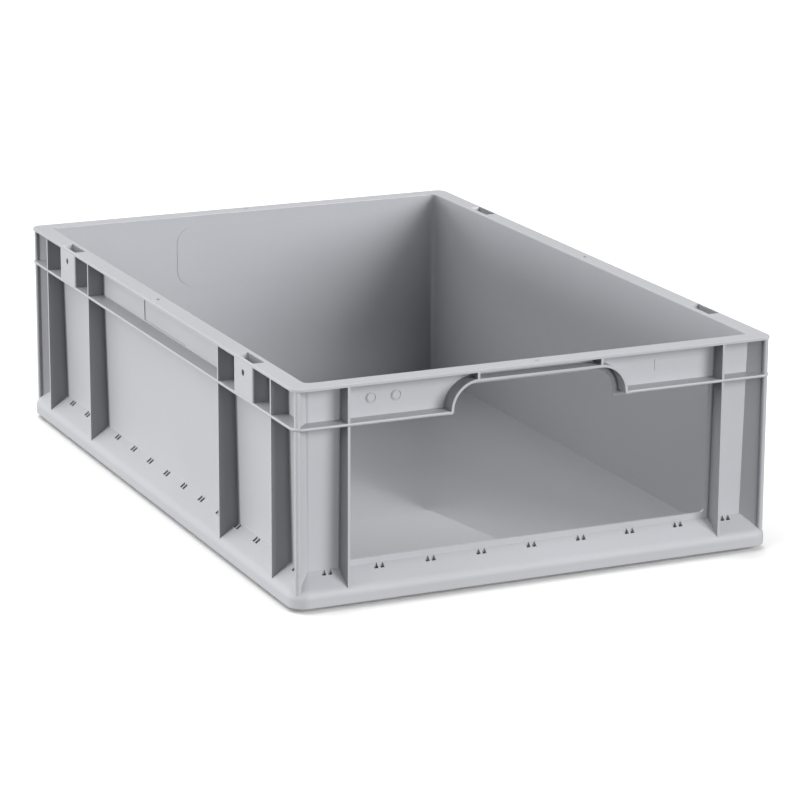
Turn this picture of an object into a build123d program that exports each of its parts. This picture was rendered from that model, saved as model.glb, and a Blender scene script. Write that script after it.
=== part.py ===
from build123d import *

import os
from math import hypot, radians, tan

os.makedirs("parts", exist_ok=True)

# A rigid stacking crate of the 600 x 400 format, with a picking window in its short front. X runs
# across the front, Y from the front to the back and Z up. The origin is the middle of the floor's
# underside. The crate is one moulding. It is divided here at its corners and edges into the
# features it is made of, which meet face to face without overlapping.

# Overall size
width = 400.0
length = 600.0
height = 170.0
half_width = width / 2
half_length = length / 2

# Tub
wall_thick = 2.3
floor_thick = 2.5
draft = 1.0  # degrees, on every wall
inner_corner = 5.0  # at the rim, less the draft further down
outer_corner = 5.0
foot_round = 1.5

# Rim
rim_inset = 1.5  # from the overall outline
rim_width = 15.0
rim_thick = 2.4
rim_corner = 8.5
rim_round = 0.9
pip_length = 5.0  # shallow pip in the middle of each side of the rim
pip_width = 2.0
pip_depth = 0.8

# Belt round the crate below the rim
belt_low = 138.1
belt_thick = 2.3
belt_round = 0.8

# Base: an upright skirt, a rounded shoulder and a ledge that slopes up to the wall
base_corner = 13.0
base_skin = 2.6
foot_rise = 3.0  # the floor reaches this far below the skirt, into the rim of a crate below
ledge_edge = 14.1  # height at which the ledge's slope would meet the skirt
ledge_slope = 0.75
ledge_reach = 18.0  # from the overall outline to just inside the wall
ledge_corner = 2.0  # where the ledge meets the wall
shoulder_round = 8.0
skirt_round = 1.0

# Drain slits in the ledge, in pairs
slit_width = 3.2
slit_length = 4.4
slit_spacing = 4.9
slit_end = 16.9  # from the overall outline, at the wall
end_slit_pitch = 41.9
end_slit_pairs = 9
side_slit_pitch = 38.6
side_slit_pairs = 15

# Ribs and corner fins
rib_thick = 2.0
end_rib_x = 155.2
side_rib_ys = (148.3, 253.9)
fin_thick = 2.2
fin_reach = 25.0  # from the bead in past the wall's surface
bead_radius = 2.4  # round bead along each fin's outer edge
bead_setback = 0.5  # behind the belt's corner

# Lock blocks for a lid, hollow below slots in the rim
lock_y = 200.2
lock_length = 38.0
lock_round = 2.0
slot_length = 33.6
slot_ramp = 3.0
slot_from_edge = 1.4
slot_width = 9.4
lock_hole_radius = 2.5
lock_hole_z = 159.1

# Window and finger gap in the front wall
window_half = 150.8
sill_z = 31.2
lip_z = 134.0
window_corner = 4.0
gap_half = 67.5
gap_top = 156.0
gap_corner = 16.0
jamb_edge = 146.0  # clear of the window's rounded corners

# Grip arches, where the belt rises towards the rim
arch_half = 71.2
arch_under = 160.8
arch_thick = 2.0
arch_foot = 2.0
arch_lap = 0.2  # of the bend into the belt
arch_bend = arch_under - belt_low - arch_foot
arch_flat_half = arch_half - arch_bend
stay_thick = 2.0
stay_shift = 0.6  # outwards from the start of the bend

# Blank fields
stamp_proud = 0.5
label_half = 47.0
label_depth = 0.6
label_margin = 1.5
stamp_xs = (-132.3, -112.1)
stamp_z = 154.3
stamp_radius = 4.1
stamp_groove = 0.45
maker_proud = 0.3
maker_x = 123.0
maker_z = 154.5
maker_length = 41.0
maker_height = 8.0
panel_half = 68.0
panel_low = 106.0
panel_top = 159.5
panel_corner = 15.0
panel_proud = 0.4

# Levels and lines that follow from the sizes above
wall_top = height - rim_thick
belt_top = belt_low + belt_thick
tub_half_width = half_width - rim_inset - rim_width
tub_half_length = half_length - rim_inset - rim_width
rim_half_width = half_width - rim_inset
rim_half_length = half_length - rim_inset
belt_half_width = rim_half_width
belt_half_length = rim_half_length
draft_slope = tan(radians(draft))
near = 0.01  # when edges are picked by their height


def tub_block(outset, top_corner):
    """The tub's drafted outline as a full block, set out from the inner face of its walls."""
    with BuildPart() as block:
        for z in (0.0, wall_top):
            fall = (wall_top - z) * draft_slope
            with BuildSketch(Plane.XY.offset(z)):
                RectangleRounded(
                    2 * (tub_half_width + outset - fall),
                    2 * (tub_half_length + outset - fall),
                    top_corner - fall,
                )
        loft(ruled=True)
    return block.part


def base_block(skin):
    """Skirt, shoulder and ledge as a full block, taken in by the thickness of a skin."""
    edge_z = ledge_edge + skin * (ledge_slope - hypot(1, ledge_slope))
    with BuildPart() as block:
        with BuildSketch(Plane.XY.offset(foot_rise)):
            RectangleRounded(width - 2 * skin, length - 2 * skin, base_corner - skin)
        extrude(amount=edge_z - foot_rise)
        with BuildSketch(Plane.XY.offset(edge_z)):
            RectangleRounded(width - 2 * skin, length - 2 * skin, base_corner - skin)
        with BuildSketch(Plane.XY.offset(edge_z + ledge_slope * (ledge_reach - skin))):
            RectangleRounded(width - 2 * ledge_reach, length - 2 * ledge_reach, ledge_corner)
        loft(ruled=True)
        shoulder = block.edges().filter_by_position(Axis.Z, edge_z - near, edge_z + near)
        fillet(shoulder, shoulder_round - skin)
    return block.part


def side_zone(*corners):
    """A tall block over the plan of one side, cut at 45 degrees through the crate's corners."""
    with BuildPart() as zone:
        with BuildSketch(Plane.XY.offset(-height)):
            with BuildLine():
                Polyline(*corners, close=True)
            make_face()
        extrude(amount=3 * height)
    return zone.part


# The outer and inner shapes that the features are cut from
tub_outside = tub_block(wall_thick, outer_corner)
tub_inside = tub_block(0.0, inner_corner)
base_outside = base_block(0.0)
base_inside = base_block(base_skin)

mitre = 60.0
near_x, far_x = half_width - mitre, half_width + mitre
near_y, far_y = half_length - mitre, half_length + mitre
zones = {
    "front": side_zone((-far_x, -far_y), (far_x, -far_y), (near_x, -near_y), (-near_x, -near_y)),
    "back": side_zone((-far_x, far_y), (far_x, far_y), (near_x, near_y), (-near_x, near_y)),
    "left": side_zone((-far_x, -far_y), (-far_x, far_y), (-near_x, near_y), (-near_x, -near_y)),
    "right": side_zone((far_x, -far_y), (far_x, far_y), (near_x, near_y), (near_x, -near_y)),
}

# ---- Tub ----

with BuildPart() as floor_panel:
    add(tub_outside)
    with Locations((0, 0, floor_thick)):
        Box(width, length, height, align=(Align.CENTER, Align.CENTER, Align.MIN), mode=Mode.SUBTRACT)
    fillet(floor_panel.faces().sort_by(Axis.Z)[0].edges(), foot_round)
floor_panel.part.label = "floor_panel"
export_step(floor_panel.part, "parts/floor_panel.step")

with BuildPart() as tub_walls:
    add(tub_outside)
    add(tub_inside, mode=Mode.SUBTRACT)
    Box(
        width,
        length,
        floor_thick,
        align=(Align.CENTER, Align.CENTER, Align.MIN),
        mode=Mode.SUBTRACT,
    )
    with BuildSketch(Plane.XZ.offset(half_length)) as opening:
        with Locations((0, sill_z)):
            Rectangle(2 * window_half, lip_z - sill_z, align=(Align.CENTER, Align.MIN))
            Rectangle(2 * gap_half, gap_top - sill_z, align=(Align.CENTER, Align.MIN))
        fillet(opening.vertices().group_by(Axis.Y)[-1], gap_corner)
        fillet(opening.vertices().group_by(Axis.Y)[0], window_corner)
    extrude(amount=-mitre, mode=Mode.SUBTRACT)

label_low = belt_top + label_margin
label_high = wall_top - label_margin

with BuildPart() as label_zones:
    with Locations((0, 0, (label_low + label_high) / 2)):
        Box(width, 2 * label_half, label_high - label_low)

for side in ("left", "right", "back"):
    with BuildPart() as wall:
        add(tub_walls.part)
        add(label_zones.part, mode=Mode.SUBTRACT)
        add(zones[side], mode=Mode.INTERSECT)
    wall.part.label = f"{side}_wall"
    export_step(wall.part, f"parts/{side}_wall.step")

with BuildPart() as front_wall:
    add(tub_walls.part)
    add(zones["front"], mode=Mode.INTERSECT)

with BuildPart() as front_sill:
    add(front_wall.part)
    with Locations((0, -half_length, 0)):
        Box(
            2 * jamb_edge,
            2 * mitre,
            lip_z - window_corner,
            align=(Align.CENTER, Align.CENTER, Align.MIN),
            mode=Mode.INTERSECT,
        )
front_sill.part.label = "front_sill"
export_step(front_sill.part, "parts/front_sill.step")

for side, sign in (("left", -1), ("right", 1)):
    with BuildPart() as front_jamb:
        add(front_wall.part)
        with Locations((sign * (jamb_edge + mitre), -half_length, 0)):
            Box(
                2 * mitre,
                2 * mitre,
                height,
                align=(Align.CENTER, Align.CENTER, Align.MIN),
                mode=Mode.INTERSECT,
            )
    front_jamb.part.label = f"front_jamb_{side}"
    export_step(front_jamb.part, f"parts/front_jamb_{side}.step")

for place, start, end in (
    ("left", -jamb_edge, -arch_flat_half),
    ("middle", -arch_flat_half, arch_flat_half),
    ("right", arch_flat_half, jamb_edge),
):
    with BuildPart() as front_header:
        add(front_wall.part)
        with Locations((start, -half_length, lip_z - window_corner)):
            Box(
                end - start,
                2 * mitre,
                height,
                align=(Align.MIN, Align.CENTER, Align.MIN),
                mode=Mode.INTERSECT,
            )
    front_header.part.label = f"front_header_{place}"
    export_step(front_header.part, f"parts/front_header_{place}.step")

# ---- Rim, with the slots that a lid locks into ----

slot_x = rim_half_width - slot_from_edge - slot_width / 2

with BuildPart() as slot_cutter:
    with BuildSketch(Plane.YZ.offset(slot_x - slot_width / 2)):
        with BuildLine():
            Polyline(
                (lock_y - slot_length / 2, height),
                (lock_y - slot_length / 2 + slot_ramp, height - 2 * slot_ramp),
                (lock_y - slot_length / 2 + slot_ramp, belt_top),
                (lock_y + slot_length / 2 - slot_ramp, belt_top),
                (lock_y + slot_length / 2 - slot_ramp, height - 2 * slot_ramp),
                (lock_y + slot_length / 2, height),
                close=True,
            )
        make_face()
    extrude(amount=slot_width)
    mirror(about=Plane.XZ)
    mirror(about=Plane.YZ)

with BuildPart() as rim_ring:
    with BuildSketch(Plane.XY.offset(wall_top)):
        RectangleRounded(2 * rim_half_width, 2 * rim_half_length, rim_corner)
        RectangleRounded(2 * tub_half_width, 2 * tub_half_length, inner_corner, mode=Mode.SUBTRACT)
    extrude(amount=rim_thick)
    fillet(rim_ring.faces().sort_by(Axis.Z)[-1].edges(), rim_round)
    add(slot_cutter.part, mode=Mode.SUBTRACT)
    with BuildSketch(Plane.XY.offset(height)):
        for end in (-1, 1):
            with Locations((0, end * (tub_half_length + rim_width / 2))):
                SlotOverall(pip_length, pip_width)
            with Locations((end * (tub_half_width + rim_width / 2), 0)):
                SlotOverall(pip_length, pip_width, rotation=90)
    extrude(amount=-pip_depth, mode=Mode.SUBTRACT)

for side in zones:
    with BuildPart() as rim:
        add(rim_ring.part)
        add(zones[side], mode=Mode.INTERSECT)
    rim.part.label = f"rim_{side}"
    export_step(rim.part, f"parts/rim_{side}.step")

# ---- Belt, open on the two short sides where the grip arches take over ----

belt_end_x = arch_half + arch_thick + arch_foot
bend_end = belt_top - arch_lap
stay_x = arch_flat_half + stay_shift

with BuildPart() as belt_block:
    with BuildSketch(Plane.XY.offset(belt_low)):
        RectangleRounded(2 * belt_half_width, 2 * belt_half_length, rim_corner)
    extrude(amount=belt_thick)

with BuildPart() as belt_ring:
    add(belt_block.part)
    fillet(belt_ring.edges().group_by(Axis.Z)[-1], belt_round)
    fillet(belt_ring.edges().group_by(Axis.Z)[0], belt_round)
    add(tub_outside, mode=Mode.SUBTRACT)
    with Locations((0, 0, belt_low)):
        Box(2 * belt_end_x, 2 * length, height, mode=Mode.SUBTRACT)

for side in ("left", "right"):
    with BuildPart() as belt_side:
        add(belt_ring.part)
        add(zones[side], mode=Mode.INTERSECT)
    belt_side.part.label = f"belt_{side}"
    export_step(belt_side.part, f"parts/belt_{side}.step")

for end in ("front", "back"):
    for side, sign in (("left", -1), ("right", 1)):
        with BuildPart() as belt_end:
            add(belt_ring.part)
            add(zones[end], mode=Mode.INTERSECT)
            with Locations((sign * width, 0, belt_low)):
                Box(2 * width, 2 * length, height, mode=Mode.INTERSECT)
        belt_end.part.label = f"belt_{end}_{side}"
        export_step(belt_end.part, f"parts/belt_{end}_{side}.step")

# ---- Grip arches: the belt's strip, bent up over the finger gap, with two stays to the rim ----

with BuildPart() as grip_arch:
    with BuildSketch(Plane.XZ.offset(belt_half_length)) as arch_profile:
        with BuildLine():
            belt_join = Line((-belt_end_x, belt_top), (-belt_end_x, belt_low))
            foot = Line(belt_join @ 1, (-arch_half - arch_foot, belt_low))
            toe = RadiusArc(foot @ 1, (-arch_half, belt_low + arch_foot), -arch_foot)
            bend = RadiusArc(toe @ 1, (-arch_flat_half, arch_under), arch_bend)
            under = Line(bend @ 1, (0, arch_under))
            middle = Line(under @ 1, (0, arch_under + arch_thick))
            top = Line(middle @ 1, (-arch_flat_half, arch_under + arch_thick))
            back = RadiusArc(top @ 1, (-arch_half - arch_thick, bend_end), -arch_bend - arch_thick)
            close = Line(back @ 1, belt_join @ 0)
        make_face()
        mirror(about=Plane.YZ)
    extrude(amount=-mitre / 2)
    with Locations((0, -belt_half_length, arch_under + arch_thick)):
        with Locations((-stay_x, 0), (stay_x, 0)):
            Box(
                stay_thick,
                mitre / 2,
                wall_top - arch_under - arch_thick,
                align=(Align.CENTER, Align.MIN, Align.MIN),
            )
    add(tub_outside, mode=Mode.SUBTRACT)
grip_arch.part.label = "front_grip_arch"
export_step(grip_arch.part, "parts/front_grip_arch.step")

with BuildPart() as back_grip_arch:
    add(grip_arch.part)
    mirror(about=Plane.XZ, mode=Mode.REPLACE)
back_grip_arch.part.label = "back_grip_arch"
export_step(back_grip_arch.part, "parts/back_grip_arch.step")

# ---- Base ----

slit_inset = slit_end - slit_length / 2
end_slits = [
    (step * end_slit_pitch + pair * slit_spacing / 2, end * (half_length - slit_inset))
    for step in range(-(end_slit_pairs // 2), end_slit_pairs // 2 + 1)
    for pair in (-1, 1)
    for end in (-1, 1)
]
side_slits = [
    (end * (half_width - slit_inset), step * side_slit_pitch + pair * slit_spacing / 2)
    for step in range(-(side_slit_pairs // 2), side_slit_pairs // 2 + 1)
    for pair in (-1, 1)
    for end in (-1, 1)
]

with BuildPart() as base_ring:
    add(base_outside)
    fillet(base_ring.faces().sort_by(Axis.Z)[0].edges(), skirt_round)
    add(base_inside, mode=Mode.SUBTRACT)
    add(tub_outside, mode=Mode.SUBTRACT)
    with BuildSketch(Plane.XY.offset(foot_rise)):
        with Locations(*end_slits):
            Rectangle(slit_width, slit_length)
        with Locations(*side_slits):
            Rectangle(slit_length, slit_width)
    extrude(amount=height / 2, mode=Mode.SUBTRACT)

for side in zones:
    with BuildPart() as base_side:
        add(base_ring.part)
        add(zones[side], mode=Mode.INTERSECT)
    base_side.part.label = f"base_{side}"
    export_step(base_side.part, f"parts/base_{side}.step")

# ---- Ribs and corner fins, upright from the ledge through the belt to the rim ----

rib_depth = 2 * (belt_half_width - tub_half_width)
rib_plans = {
    "front": [(x, -belt_half_length + rib_depth / 2, 90) for x in (-end_rib_x, end_rib_x)],
    "back": [(x, belt_half_length - rib_depth / 2, 90) for x in (-end_rib_x, end_rib_x)],
    "left": [(-belt_half_width + rib_depth / 2, s * y, 0) for y in side_rib_ys for s in (-1, 1)],
    "right": [(belt_half_width - rib_depth / 2, s * y, 0) for y in side_rib_ys for s in (-1, 1)],
}

for side, places in rib_plans.items():
    with BuildPart() as ribs:
        with BuildSketch(Plane.XY.offset(foot_rise)):
            with Locations(*[Location((x, y, 0), (0, 0, turn)) for x, y, turn in places]):
                Rectangle(rib_depth, rib_thick)
        extrude(amount=wall_top - foot_rise)
        add(tub_outside, mode=Mode.SUBTRACT)
        add(base_outside, mode=Mode.SUBTRACT)
        add(belt_block.part, mode=Mode.SUBTRACT)
    ribs.part.label = f"ribs_{side}"
    export_step(ribs.part, f"parts/ribs_{side}.step")

bead_at = rim_corner - bead_setback - bead_radius

for end, end_sign in (("front", -1), ("back", 1)):
    for side, side_sign in (("left", -1), ("right", 1)):
        corner = (
            side_sign * (belt_half_width - rim_corner),
            end_sign * (belt_half_length - rim_corner),
            0,
        )
        turn = 90 - 45 * side_sign if end_sign > 0 else -90 + 45 * side_sign
        with BuildPart() as corner_fin:
            with BuildSketch(Plane.XY.offset(foot_rise)):
                with Locations(Location(corner, (0, 0, turn))):
                    with Locations((bead_at, 0)):
                        Rectangle(fin_reach, fin_thick, align=(Align.MAX, Align.CENTER))
                        Circle(bead_radius)
            extrude(amount=wall_top - foot_rise)
            add(tub_outside, mode=Mode.SUBTRACT)
            add(base_outside, mode=Mode.SUBTRACT)
            add(belt_block.part, mode=Mode.SUBTRACT)
        corner_fin.part.label = f"corner_fin_{end}_{side}"
        export_step(corner_fin.part, f"parts/corner_fin_{end}_{side}.step")

# ---- Lock blocks ----

lock_depth = rim_half_width - tub_half_width

for end, end_sign in (("front", -1), ("back", 1)):
    for side, side_sign in (("left", -1), ("right", 1)):
        with BuildPart() as lock_block:
            with BuildSketch(Plane.XY.offset(belt_top)):
                with Locations((side_sign * (rim_half_width - lock_depth / 2), end_sign * lock_y)):
                    Rectangle(lock_depth, lock_length)
            extrude(amount=wall_top - belt_top)
            outer_edges = lock_block.edges().filter_by(Axis.Z).group_by(Axis.X)
            fillet(outer_edges[-1] if side_sign > 0 else outer_edges[0], lock_round)
            add(tub_outside, mode=Mode.SUBTRACT)
            add(slot_cutter.part, mode=Mode.SUBTRACT)
            with Locations(
                Location((side_sign * rim_half_width, end_sign * lock_y, lock_hole_z), (0, 90, 0))
            ):
                Cylinder(lock_hole_radius, slot_width, mode=Mode.SUBTRACT)
        lock_block.part.label = f"lock_block_{end}_{side}"
        export_step(lock_block.part, f"parts/lock_block_{end}_{side}.step")

# ---- Blank fields for a label, a date and a mark ----

label_block = tub_block(wall_thick - label_depth, outer_corner)

for side, sign in (("left", -1), ("right", 1)):
    with BuildPart() as label_field:
        add(label_block)
        add(tub_inside, mode=Mode.SUBTRACT)
        add(label_zones.part, mode=Mode.INTERSECT)
        add(zones[side], mode=Mode.INTERSECT)
    label_field.part.label = f"label_field_{side}"
    export_step(label_field.part, f"parts/label_field_{side}.step")

with BuildPart() as stamp_rods:
    with BuildSketch(Plane.XZ.offset(half_length)):
        for x in stamp_xs:
            with Locations((x, stamp_z)):
                Circle(stamp_radius)
                Circle(stamp_radius - stamp_groove, mode=Mode.SUBTRACT)
                Circle(stamp_radius - 2 * stamp_groove)
    extrude(amount=-mitre)

with BuildPart() as date_stamps:
    add(tub_block(wall_thick + stamp_proud, outer_corner))
    add(stamp_rods.part, mode=Mode.INTERSECT)
    add(tub_outside, mode=Mode.SUBTRACT)
date_stamps.part.label = "date_stamps"
export_step(date_stamps.part, "parts/date_stamps.step")

with BuildPart() as maker_field:
    add(tub_block(wall_thick + maker_proud, outer_corner))
    with Locations((maker_x, -half_length, maker_z)):
        Box(maker_length, mitre, maker_height, mode=Mode.INTERSECT)
    add(tub_outside, mode=Mode.SUBTRACT)
maker_field.part.label = "maker_field"
export_step(maker_field.part, "parts/maker_field.step")

with BuildPart() as panel_plug:
    with BuildSketch(Plane.XZ.offset(-half_length)) as panel_outline:
        with Locations((0, (panel_low + panel_top) / 2)):
            RectangleRounded(2 * panel_half, panel_top - panel_low, panel_corner)
    extrude(amount=mitre)

with BuildPart() as back_grip_panel:
    add(tub_inside)
    add(tub_block(-panel_proud, inner_corner), mode=Mode.SUBTRACT)
    add(panel_plug.part, mode=Mode.INTERSECT)
back_grip_panel.part.label = "back_grip_panel"
export_step(back_grip_panel.part, "parts/back_grip_panel.step")
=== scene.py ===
import math

import bpy
from mathutils import Matrix, Vector


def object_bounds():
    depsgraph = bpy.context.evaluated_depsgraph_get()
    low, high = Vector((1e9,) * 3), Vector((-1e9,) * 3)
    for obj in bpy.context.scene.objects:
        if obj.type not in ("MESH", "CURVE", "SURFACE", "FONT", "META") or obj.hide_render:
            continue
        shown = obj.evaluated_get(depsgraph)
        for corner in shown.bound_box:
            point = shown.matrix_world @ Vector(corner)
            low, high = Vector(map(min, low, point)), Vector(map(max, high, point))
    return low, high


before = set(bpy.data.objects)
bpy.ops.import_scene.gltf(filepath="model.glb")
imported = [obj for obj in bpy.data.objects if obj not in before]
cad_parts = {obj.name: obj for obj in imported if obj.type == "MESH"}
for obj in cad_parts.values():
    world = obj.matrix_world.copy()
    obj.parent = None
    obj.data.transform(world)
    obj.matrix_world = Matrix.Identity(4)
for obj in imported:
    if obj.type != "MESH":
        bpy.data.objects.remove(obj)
cad_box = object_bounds()

# A grey stacking crate in a white studio. Lengths are in metres and angles in degrees, unless a
# comment says otherwise.

# ---- Camera ----

CAMERA_AZIMUTH = 24.454  # from +Y towards +X, in the direction that the camera looks
CAMERA_ELEVATION = 15.364
CAMERA_ROLL = 0.264
CAMERA_AIM = Vector((0.0243, 0.0075, 0.0614))
CAMERA_DISTANCE = 2.7867
CAMERA_LENS = 150.8  # mm
SENSOR_WIDTH = 36.0  # mm

# ---- Studio ----

STUDIO_FLOOR_HALF = 30.0
STUDIO_FLOOR_DROP = 0.0005  # below the crate, so that the two faces don't meet
STUDIO_FLOOR_WHITE = 0.95
STUDIO_FLOOR_GLOW = 0.03
STUDIO_FLOOR_ROUGHNESS = 0.8
STUDIO_FLOOR_SPECULAR = 0.2
STUDIO_FLOOR_SCALE = 1.5  # of its unevenness, in features per metre
STUDIO_FLOOR_LOSS = 0.015  # of its white, where it is least

WORLD_NEAR_STRENGTH = 0.12  # on the camera's side
WORLD_FAR_STRENGTH = 1.05  # behind the crate
WORLD_NEAR_Y = -0.1  # these four are parts of the unit direction out to the world
WORLD_FAR_Y = 0.6
WORLD_DARK_Z = -0.55
WORLD_LIT_Z = -0.3

# ---- Plastic ----

PLASTIC_GREY = (0.34, 0.344, 0.364)
PLASTIC_IOR = 1.49

# Scales of the noise, in features per metre
FLOW_SCALE = 7.0
WAVE_SCALE = 16.0
PATCH_SCALE = 22.0
SPECK_SCALE = 1100.0
GRAIN_SCALE = 2600.0

NOISE_LOW = 0.3  # nearly all of Blender's noise lies between these two
NOISE_HIGH = 0.7

FLOW_SWING = 0.025  # of the colour, up and down
SPECK_SWING = 0.015
PATCH_SWING = 0.008  # of the roughness

WAVE_HEIGHT = 0.0006
MATT_WAVES = 0.35  # strength of the waves
POLISHED_WAVES = 0.12
GRAIN_HEIGHT = 0.00006
GRAIN = 0.12  # strength of the grain

BOW_HALF_LENGTH = 0.28  # from the middle of a bowed panel to its front or back edge

# Nodes with the polished inside of the tub on one face, apart from its floor and rim; that inside also
# gets painted shade
TUB_NODES = (
    "left_wall",
    "right_wall",
    "back_wall",
    "front_sill",
    "front_jamb_left",
    "front_jamb_right",
    "front_header_left",
    "front_header_middle",
    "front_header_right",
    "back_grip_panel",
    "label_field_left",
    "label_field_right",
)


# ---- Shader nodes ----


def add_node(tree, kind, **attributes):
    """A shader node with its attributes set."""
    node = tree.nodes.new(kind)
    for key, value in attributes.items():
        setattr(node, key, value)
    return node


def new_material(name):
    """A material with its node tree and its Principled shader."""
    material = bpy.data.materials.new(name)
    material.use_nodes = True
    tree = material.node_tree
    return material, tree, tree.nodes["Principled BSDF"]


def object_place(tree):
    return add_node(tree, "ShaderNodeTexCoord").outputs["Object"]


def noise(tree, place, scale, detail, roughness=0.5):
    node = add_node(tree, "ShaderNodeTexNoise")
    node.inputs["Scale"].default_value = scale
    node.inputs["Detail"].default_value = detail
    node.inputs["Roughness"].default_value = roughness
    tree.links.new(place, node.inputs["Vector"])
    return node.outputs["Fac"]


def remap(tree, value, start, end, low=0.0, high=1.0, interpolation="LINEAR"):
    """Low up to where the value is at start, high from where it is at end, and a ramp between."""
    node = add_node(tree, "ShaderNodeMapRange", interpolation_type=interpolation)
    node.inputs["From Min"].default_value = start
    node.inputs["From Max"].default_value = end
    node.inputs["To Min"].default_value = low
    node.inputs["To Max"].default_value = high
    tree.links.new(value, node.inputs["Value"])
    return node.outputs["Result"]


def spread_noise(tree, value, low, high):
    """Noise, spread over the range from low to high."""
    return remap(tree, value, NOISE_LOW, NOISE_HIGH, low, high)


def math_node(tree, operation, *values):
    """The result of one operation on two or three values, each a number or a socket."""
    node = add_node(tree, "ShaderNodeMath", operation=operation)
    for socket, value in zip(node.inputs, values):
        if isinstance(value, (int, float)):
            socket.default_value = value
        else:
            tree.links.new(value, socket)
    return node.outputs["Value"]


def scaled_colour(tree, colour, shade):
    """A colour times a shade that varies from place to place."""
    node = add_node(tree, "ShaderNodeVectorMath", operation="SCALE")
    node.inputs[0].default_value = colour
    tree.links.new(shade, node.inputs["Scale"])
    return node.outputs["Vector"]


def bump(tree, height, distance, strength=1.0, over=None, invert=False):
    """A normal bent by a height, on top of another normal where one is given."""
    node = add_node(tree, "ShaderNodeBump", invert=invert)
    node.inputs["Strength"].default_value = strength
    node.inputs["Distance"].default_value = distance
    tree.links.new(height, node.inputs["Height"])
    if over is not None:
        tree.links.new(over, node.inputs["Normal"])
    return node.outputs["Normal"]


def inside_mask(tree):
    """1 on the faces that look in at the crate's middle, 0 elsewhere."""
    crate_centre = (cad_box[0] + cad_box[1]) / 2
    geometry = add_node(tree, "ShaderNodeNewGeometry")
    inward = add_node(tree, "ShaderNodeVectorMath", operation="SUBTRACT")
    inward.inputs[0].default_value = crate_centre
    tree.links.new(geometry.outputs["Position"], inward.inputs[1])
    facing = add_node(tree, "ShaderNodeVectorMath", operation="DOT_PRODUCT")
    tree.links.new(geometry.outputs["True Normal"], facing.inputs[0])
    tree.links.new(inward.outputs["Vector"], facing.inputs[1])
    return math_node(tree, "GREATER_THAN", facing.outputs["Value"], 0.0)


def bowed_normal(tree, place, bow):
    """The normal of a panel whose middle stands higher, by the bow, than its front and back edges."""
    along = add_node(tree, "ShaderNodeSeparateXYZ")
    tree.links.new(place, along.inputs["Vector"])
    fall = math_node(tree, "MULTIPLY", along.outputs["Y"], along.outputs["Y"])
    return bump(tree, fall, bow / BOW_HALF_LENGTH**2, invert=True)


# ---- Materials ----


def moulded_plastic(
    name,
    outer_roughness,
    inner_roughness=None,
    inner_painted_shade=1.0,
    bow=0.0,
    grain=GRAIN,
):
    """Moulded polypropylene: faint flow mottling, fine specks and grain, uneven gloss, soft waves.

    With an inner roughness, the faces that look in at the crate's middle have that roughness,
    their colour is multiplied by the inner painted shade, a painted shade that darkens the
    inside, and all the waves are weaker. A bow shades a panel as if its middle stood that much
    higher than its front and back edges.
    """
    material, tree, shader = new_material(name)
    shader.inputs["IOR"].default_value = PLASTIC_IOR
    place = object_place(tree)

    flow = noise(tree, place, FLOW_SCALE, detail=3.0)
    speck = noise(tree, place, SPECK_SCALE, detail=2.0)
    patches = noise(tree, place, PATCH_SCALE, detail=2.0, roughness=0.4)
    waves = noise(tree, place, WAVE_SCALE, detail=1.0)
    fine_grain = noise(tree, place, GRAIN_SCALE, detail=1.0)

    shade = math_node(
        tree,
        "MULTIPLY",
        spread_noise(tree, flow, 1.0 - FLOW_SWING, 1.0 + FLOW_SWING),
        spread_noise(tree, speck, 1.0 - SPECK_SWING, 1.0 + SPECK_SWING),
    )
    roughness = math_node(
        tree,
        "ADD",
        spread_noise(tree, patches, -PATCH_SWING, PATCH_SWING),
        outer_roughness,
    )
    wave_strength = MATT_WAVES
    if inner_roughness is not None:
        inside = inside_mask(tree)
        # Painted shade: the colour of the faces inside the crate is darkened by the inner painted shade
        painted_inside_shade = math_node(tree, "MULTIPLY_ADD", inside, inner_painted_shade - 1.0, 1.0)
        shade = math_node(tree, "MULTIPLY", shade, painted_inside_shade)
        polish = math_node(tree, "MULTIPLY", inside, inner_roughness - outer_roughness)
        roughness = math_node(tree, "ADD", roughness, polish)
        wave_strength = POLISHED_WAVES
    tree.links.new(scaled_colour(tree, PLASTIC_GREY, shade), shader.inputs["Base Color"])
    tree.links.new(roughness, shader.inputs["Roughness"])

    normal = bowed_normal(tree, place, bow) if bow else None
    normal = bump(tree, waves, WAVE_HEIGHT, wave_strength, over=normal)
    normal = bump(tree, fine_grain, GRAIN_HEIGHT, grain, over=normal)
    tree.links.new(normal, shader.inputs["Normal"])
    return material


def studio_floor_material():
    """Matt white sweep with a trace of unevenness."""
    material, tree, shader = new_material("studio_floor")
    shader.inputs["Roughness"].default_value = STUDIO_FLOOR_ROUGHNESS
    shader.inputs["Specular IOR Level"].default_value = STUDIO_FLOOR_SPECULAR
    shader.inputs["Emission Color"].default_value = (1.0, 1.0, 1.0, 1.0)
    shader.inputs["Emission Strength"].default_value = STUDIO_FLOOR_GLOW
    unevenness = noise(tree, object_place(tree), STUDIO_FLOOR_SCALE, detail=2.0)
    shade = spread_noise(tree, unevenness, 1.0 - STUDIO_FLOOR_LOSS, 1.0)
    white = scaled_colour(tree, (STUDIO_FLOOR_WHITE,) * 3, shade)
    tree.links.new(white, shader.inputs["Base Color"])
    return material


# The inner painted shade values are painted shade that darkens the faces inside the tub, its floor and
# its rim
tub_plastic = moulded_plastic(
    "tub_plastic", outer_roughness=0.42, inner_roughness=0.25, inner_painted_shade=0.93
)
floor_plastic = moulded_plastic(
    "floor_plastic",
    outer_roughness=0.42,
    inner_roughness=0.025,
    inner_painted_shade=0.76,
    bow=0.013,
    grain=0.0,
)
body_plastic = moulded_plastic("body_plastic", outer_roughness=0.42)
base_plastic = moulded_plastic("base_plastic", outer_roughness=0.62)
rim_plastic = moulded_plastic(
    "rim_plastic", outer_roughness=0.8, inner_roughness=0.25, inner_painted_shade=0.93
)


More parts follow.
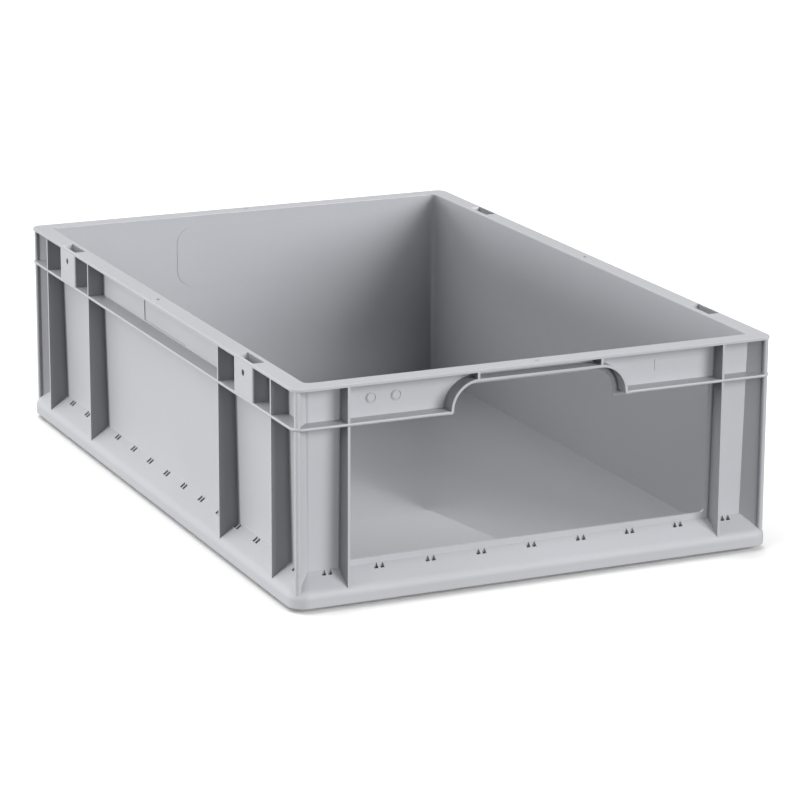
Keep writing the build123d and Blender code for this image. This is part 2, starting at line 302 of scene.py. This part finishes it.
def plastic_of(node_name):
    """The plastic that one of the crate's nodes is shown in."""
    if node_name == "floor_panel":
        return floor_plastic
    if node_name in TUB_NODES:
        return tub_plastic
    if node_name.startswith("rim_"):
        return rim_plastic
    if node_name.startswith("base_"):
        return base_plastic
    return body_plastic


for node_name, node_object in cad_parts.items():
    node_object.data.materials.clear()
    node_object.data.materials.append(plastic_of(node_name))


# ---- Floor, world, lights and camera ----


def add_object(name, data):
    scene_object = bpy.data.objects.new(name, data)
    bpy.context.scene.collection.objects.link(scene_object)
    return scene_object


def make_floor():
    """The studio's floor. It takes the crate's shadow, but doesn't light, shade or show in the crate."""
    half = STUDIO_FLOOR_HALF
    mesh = bpy.data.meshes.new("floor")
    mesh.from_pydata(
        [(-half, -half, 0), (half, -half, 0), (half, half, 0), (-half, half, 0)],
        [],
        [(0, 1, 2, 3)],
    )
    mesh.materials.append(studio_floor_material())
    floor = add_object("floor", mesh)
    floor.location.z = -STUDIO_FLOOR_DROP
    floor.visible_diffuse = False
    floor.visible_glossy = False
    floor.visible_shadow = False


def make_world():
    """Studio surroundings: bright behind the crate, dark on the camera's side and underneath."""
    world = bpy.data.worlds.new("studio")
    world.use_nodes = True
    tree = world.node_tree
    background = tree.nodes["Background"]
    direction = add_node(tree, "ShaderNodeTexCoord").outputs["Generated"]
    split = add_node(tree, "ShaderNodeSeparateXYZ")
    tree.links.new(direction, split.inputs["Vector"])
    behind = remap(
        tree,
        split.outputs["Y"],
        WORLD_NEAR_Y,
        WORLD_FAR_Y,
        WORLD_NEAR_STRENGTH,
        WORLD_FAR_STRENGTH,
        interpolation="SMOOTHSTEP",
    )
    lit = remap(tree, split.outputs["Z"], WORLD_DARK_Z, WORLD_LIT_Z, interpolation="SMOOTHSTEP")
    strength = math_node(tree, "MULTIPLY", behind, lit)
    tree.links.new(strength, background.inputs["Strength"])
    background.inputs["Color"].default_value = (1.0, 1.0, 1.0, 1.0)
    bpy.context.scene.world = world


def sun(name, towards, strength, angle):
    """A distant soft light that stands in the direction given, as seen from the crate."""
    light = bpy.data.lights.new(name, "SUN")
    light.energy = strength
    light.angle = math.radians(angle)
    lamp = add_object(name, light)
    lamp.rotation_euler = Vector(towards).to_track_quat("Z", "Y").to_euler()


def make_camera():
    azimuth = math.radians(CAMERA_AZIMUTH)
    elevation = math.radians(CAMERA_ELEVATION)
    roll = math.radians(CAMERA_ROLL)
    forward = Vector(
        (
            math.sin(azimuth) * math.cos(elevation),
            math.cos(azimuth) * math.cos(elevation),
            -math.sin(elevation),
        )
    )
    level_right = Vector((math.cos(azimuth), -math.sin(azimuth), 0))
    level_up = level_right.cross(forward)
    right = math.cos(roll) * level_right + math.sin(roll) * level_up
    up = -math.sin(roll) * level_right + math.cos(roll) * level_up
    data = bpy.data.cameras.new("camera")
    data.lens = CAMERA_LENS
    data.sensor_width = SENSOR_WIDTH
    camera = add_object("camera", data)
    turn = Matrix((right, up, -forward)).transposed().to_4x4()
    camera.matrix_world = Matrix.Translation(CAMERA_AIM - CAMERA_DISTANCE * forward) @ turn
    bpy.context.scene.camera = camera


make_floor()
make_world()
sun("key_right", towards=(0.50, -0.80, 0.34), strength=3.5, angle=32)
sun("front", towards=(0.05, -1.0, 0.12), strength=1.35, angle=12)
sun("side_left", towards=(-0.95, 0.28, 0.02), strength=2.8, angle=14)
sun("top_left", towards=(-0.85, -0.15, 0.55), strength=0.6, angle=40)
sun("top_back", towards=(-0.35, 0.5, 1.0), strength=2.1, angle=70)
make_camera()

bpy.context.scene.view_settings.view_transform = "Standard"
